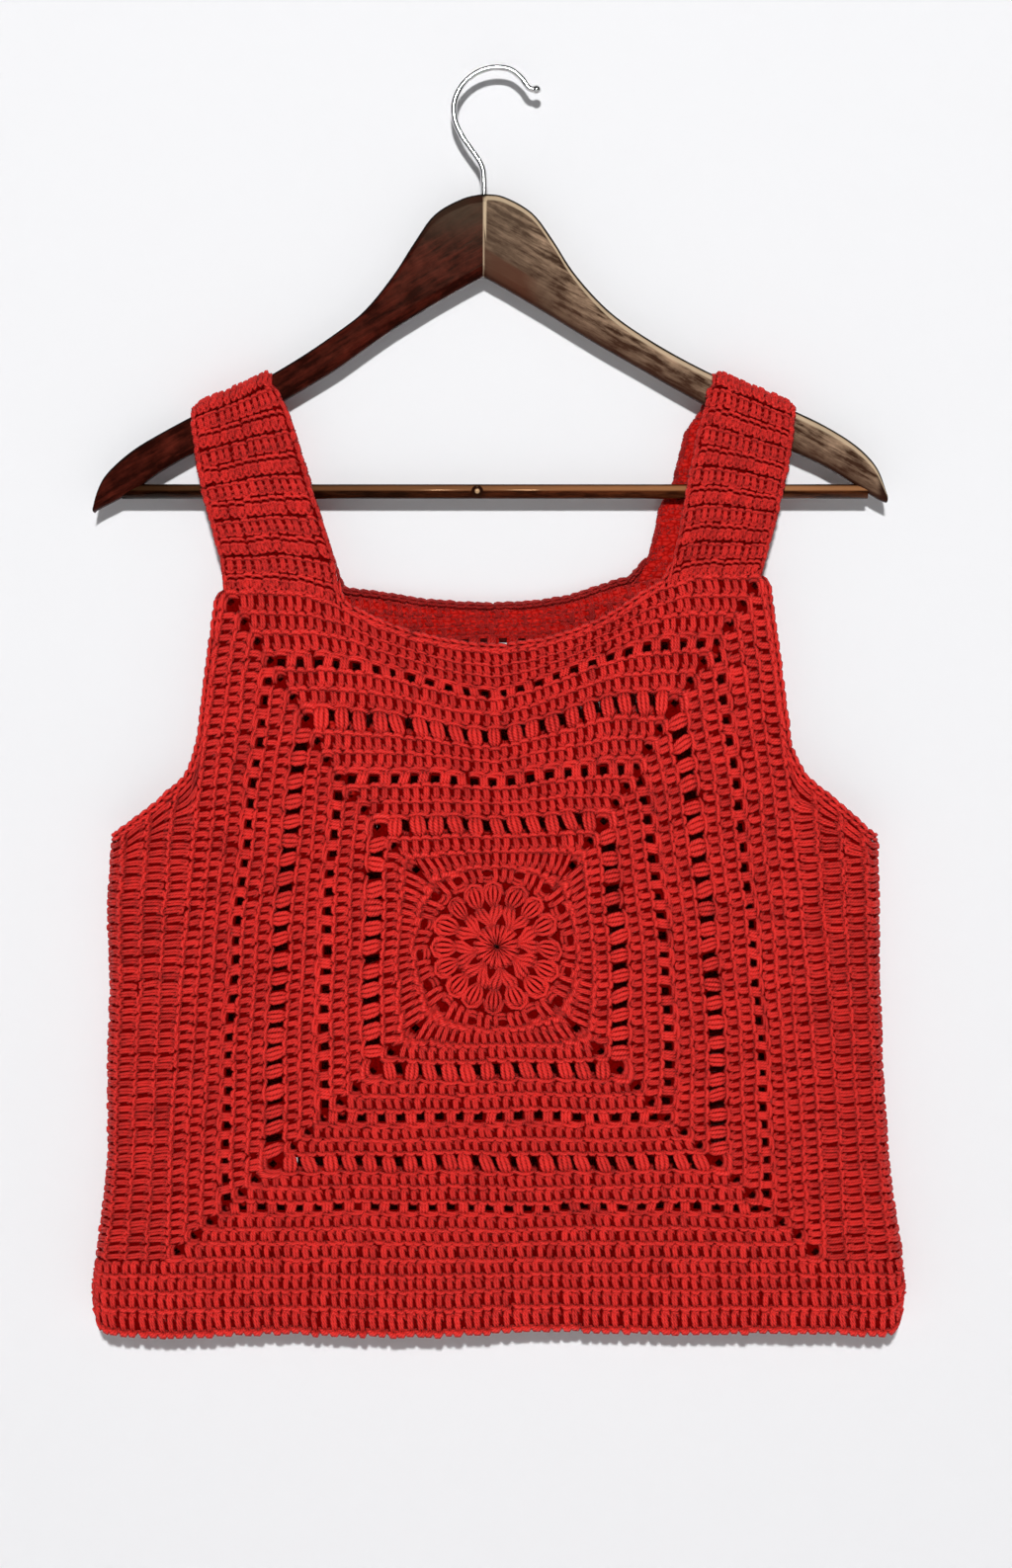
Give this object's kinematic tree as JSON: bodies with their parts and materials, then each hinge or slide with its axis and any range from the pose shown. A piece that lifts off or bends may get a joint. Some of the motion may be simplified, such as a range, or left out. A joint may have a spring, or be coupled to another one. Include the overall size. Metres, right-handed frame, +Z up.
{
  "type": "crochet top on a clothes hanger",
  "caption": "Sleeveless square-patterned crochet top with broad shoulder straps, hanging flat on a wooden clothes hanger with a trouser bar and a wire hook.",
  "frame": {"origin": "the point under the crown of the hanger's hook where a nail carries it", "axes": "+Z up, +X to the right seen from the front, the front of the top faces -Y"},
  "size_m": [0.4558, 0.0283, 0.7122],
  "materials": {
    "yarn": "matte crocheted cotton yarn",
    "lacquered_wood": "dark mahogany gloss lacquer",
    "bar_wood": "brown satin lacquer",
    "steel_wire": "bright plated wire"
  },
  "bodies": {
    "root": {"front_panel": "yarn", "back_panel": "yarn", "side_panel_left": "yarn", "side_panel_right": "yarn", "hem_band": "yarn", "strap_left": "yarn", "strap_right": "yarn", "neck_edging_front": "yarn", "neck_edging_back": "yarn", "armhole_edging_left": "yarn", "armhole_edging_right": "yarn", "hanger_arm_left": "lacquered_wood", "hanger_arm_right": "lacquered_wood", "hanger_bar": "bar_wood", "hanger_hook": "steel_wire"}
  },
  "joints": []
}
